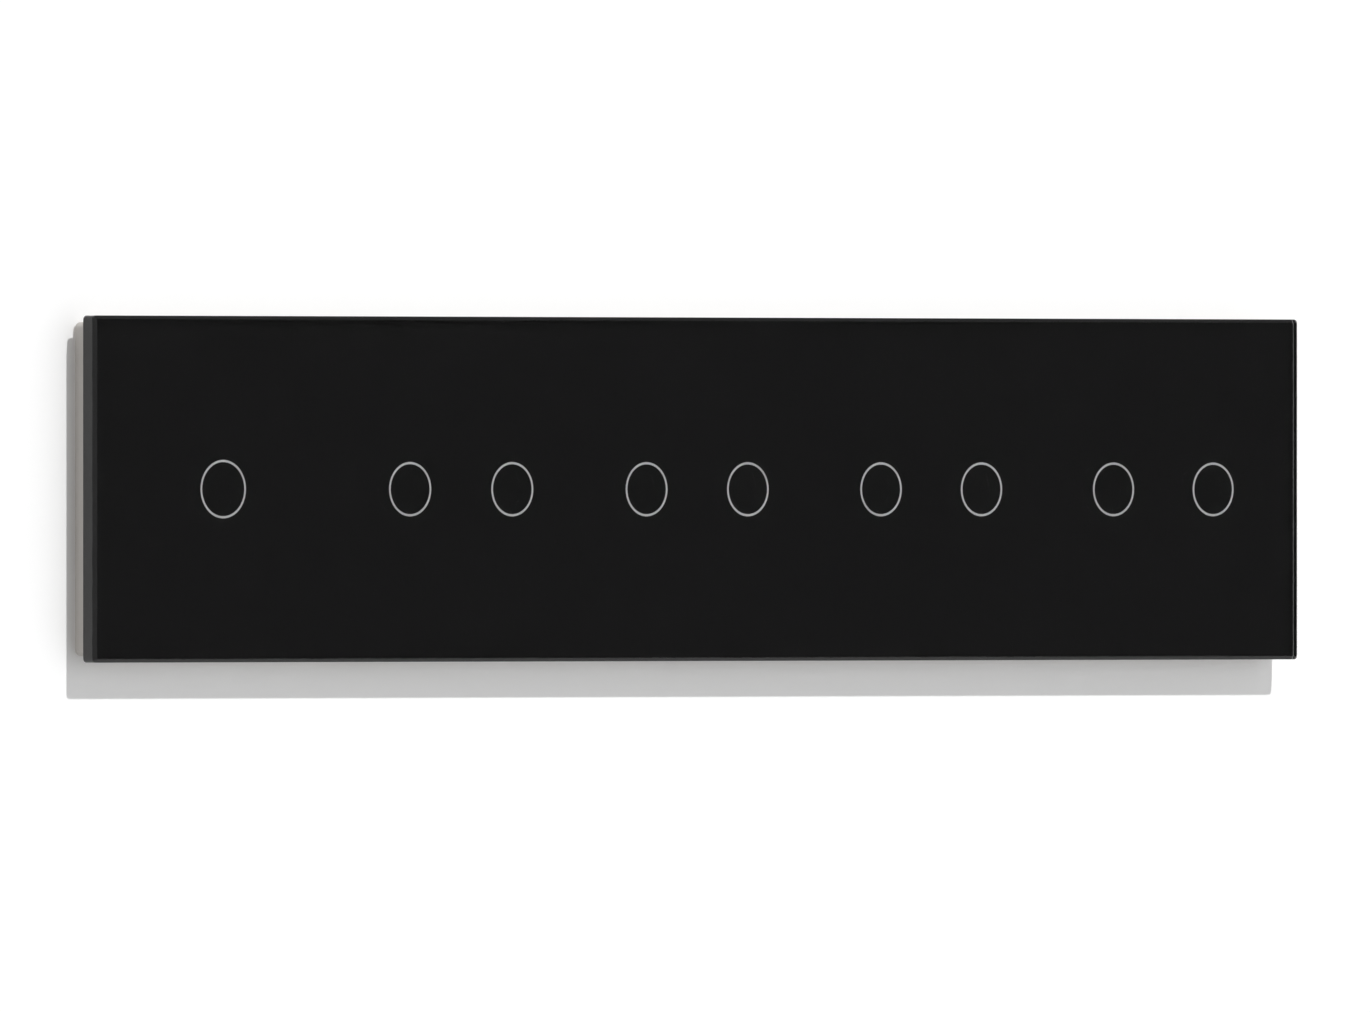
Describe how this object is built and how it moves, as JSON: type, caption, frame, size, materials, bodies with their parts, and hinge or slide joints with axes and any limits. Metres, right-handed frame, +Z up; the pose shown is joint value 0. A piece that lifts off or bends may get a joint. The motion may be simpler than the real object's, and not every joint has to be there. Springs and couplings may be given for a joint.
{
  "type": "touch switch panel",
  "caption": "Row of touch light switches behind one long black glass front with ring marks on its keys; each module screws to a flush wall box.",
  "frame": {"origin": "on the wall face, at the middle of the centre module's two screw slots", "axes": "+X to the right along the row, +Y into the wall, +Z up; the glass faces -Y"},
  "size_m": [0.364, 0.0334, 0.08],
  "materials": {
    "front_glass": "polished tempered glass, clear over the black print",
    "black_print": "fired black ceramic ink",
    "ring_print": "light grey translucent ink",
    "foam_tape": "black acrylic foam tape",
    "frame_plastic": "light grey moulded ABS, fine texture",
    "spring_steel": "rolled spring steel strip",
    "carrier_plastic": "white glass-filled polycarbonate",
    "case_plastic": "white moulded polycarbonate",
    "power_laminate": "green solder mask on glass-epoxy laminate",
    "touch_laminate": "green solder mask on glass-epoxy laminate",
    "cap_plastic": "white moulded ABS",
    "terminal_plastic": "dark grey polyamide",
    "zinc_steel": "zinc plated steel",
    "clamp_brass": "turned brass",
    "relay_base_plastic": "black PBT",
    "relay_iron": "nickel plated soft iron",
    "coil_copper": "enamelled copper wire on its bobbin",
    "contact_alloy": "copper alloy blade with a silver rivet",
    "relay_cover_plastic": "blue moulded PBT",
    "touch_spring_steel": "nickel plated spring wire",
    "guide_acrylic": "frosted acrylic",
    "led_resin": "moulded LED package",
    "header_plastic": "black nylon with tinned pins",
    "capacitor_can": "sleeved aluminium can",
    "capacitor_box": "yellow moulded box"
  },
  "bodies": {
    "switch_base": {"carrier_plate_1": "carrier_plastic", "carrier_plate_2": "carrier_plastic", "carrier_plate_3": "carrier_plastic", "carrier_plate_4": "carrier_plastic", "carrier_plate_5": "carrier_plastic", "rear_housing_1": "case_plastic", "rear_housing_2": "case_plastic", "rear_housing_3": "case_plastic", "rear_housing_4": "case_plastic", "rear_housing_5": "case_plastic", "power_board_1": "power_laminate", "power_board_2": "power_laminate", "power_board_3": "power_laminate", "power_board_4": "power_laminate", "power_board_5": "power_laminate", "touch_board_1": "touch_laminate", "touch_board_2": "touch_laminate", "touch_board_3": "touch_laminate", "touch_board_4": "touch_laminate", "touch_board_5": "touch_laminate", "front_cap_1": "cap_plastic", "front_cap_2": "cap_plastic", "front_cap_3": "cap_plastic", "front_cap_4": "cap_plastic", "front_cap_5": "cap_plastic", "terminal_block_1": "terminal_plastic", "terminal_block_2": "terminal_plastic", "terminal_block_3": "terminal_plastic", "terminal_block_4": "terminal_plastic", "terminal_block_5": "terminal_plastic", "terminal_screws": "zinc_steel", "wire_clamps": "clamp_brass", "case_screws": "zinc_steel", "relay_bases": "relay_base_plastic", "relay_yokes": "relay_iron", "relay_coils": "coil_copper", "relay_contacts": "contact_alloy", "relay_springs": "spring_steel", "relay_covers": "relay_cover_plastic", "touch_springs": "touch_spring_steel", "light_guides": "guide_acrylic", "key_lights": "led_resin", "board_headers": "header_plastic", "supply_capacitors": "capacitor_can", "film_capacitors": "capacitor_box"},
    "front_panel": {"glass_plate": "front_glass", "black_mask": "black_print", "ring_marks": "ring_print", "bonding_tape": "foam_tape", "backing_frame": "frame_plastic", "snap_clips": "spring_steel"},
    "armature_1": {"relay_armature_1": "relay_iron"},
    "armature_2": {"relay_armature_2": "relay_iron"},
    "armature_3": {"relay_armature_3": "relay_iron"},
    "armature_4": {"relay_armature_4": "relay_iron"},
    "armature_5": {"relay_armature_5": "relay_iron"},
    "armature_6": {"relay_armature_6": "relay_iron"},
    "armature_7": {"relay_armature_7": "relay_iron"},
    "armature_8": {"relay_armature_8": "relay_iron"},
    "armature_9": {"relay_armature_9": "relay_iron"}
  },
  "joints": [
    {"name": "front_panel_pull", "type": "slide", "parent": "switch_base", "child": "front_panel", "axis": [0, -1, 0], "range_m": [0, 0.025], "deforming": ["snap_clips"]},
    {"name": "relay_switch_1", "type": "hinge", "parent": "switch_base", "child": "armature_1", "pos_m": [-0.142, 0.0175, -0.00402], "axis": [1, 0, 0], "range_deg": [0, 4.84], "stiffness_Nm_per_rad": 0.002, "springref_deg": -17.19},
    {"name": "relay_switch_2", "type": "hinge", "parent": "switch_base", "child": "armature_2", "pos_m": [-0.07675, 0.0175, -0.00402], "axis": [1, 0, 0], "range_deg": [0, 4.84], "stiffness_Nm_per_rad": 0.002, "springref_deg": -17.19},
    {"name": "relay_switch_3", "type": "hinge", "parent": "switch_base", "child": "armature_3", "pos_m": [-0.06525, 0.0175, -0.00402], "axis": [1, 0, 0], "range_deg": [0, 4.84], "stiffness_Nm_per_rad": 0.002, "springref_deg": -17.19},
    {"name": "relay_switch_4", "type": "hinge", "parent": "switch_base", "child": "armature_4", "pos_m": [-0.00575, 0.0175, -0.00402], "axis": [1, 0, 0], "range_deg": [0, 4.84], "stiffness_Nm_per_rad": 0.002, "springref_deg": -17.19},
    {"name": "relay_switch_5", "type": "hinge", "parent": "switch_base", "child": "armature_5", "pos_m": [0.00575, 0.0175, -0.00402], "axis": [1, 0, 0], "range_deg": [0, 4.84], "stiffness_Nm_per_rad": 0.002, "springref_deg": -17.19},
    {"name": "relay_switch_6", "type": "hinge", "parent": "switch_base", "child": "armature_6", "pos_m": [0.06525, 0.0175, -0.00402], "axis": [1, 0, 0], "range_deg": [0, 4.84], "stiffness_Nm_per_rad": 0.002, "springref_deg": -17.19},
    {"name": "relay_switch_7", "type": "hinge", "parent": "switch_base", "child": "armature_7", "pos_m": [0.07675, 0.0175, -0.00402], "axis": [1, 0, 0], "range_deg": [0, 4.84], "stiffness_Nm_per_rad": 0.002, "springref_deg": -17.19},
    {"name": "relay_switch_8", "type": "hinge", "parent": "switch_base", "child": "armature_8", "pos_m": [0.13625, 0.0175, -0.00402], "axis": [1, 0, 0], "range_deg": [0, 4.84], "stiffness_Nm_per_rad": 0.002, "springref_deg": -17.19},
    {"name": "relay_switch_9", "type": "hinge", "parent": "switch_base", "child": "armature_9", "pos_m": [0.14775, 0.0175, -0.00402], "axis": [1, 0, 0], "range_deg": [0, 4.84], "stiffness_Nm_per_rad": 0.002, "springref_deg": -17.19}
  ]
}
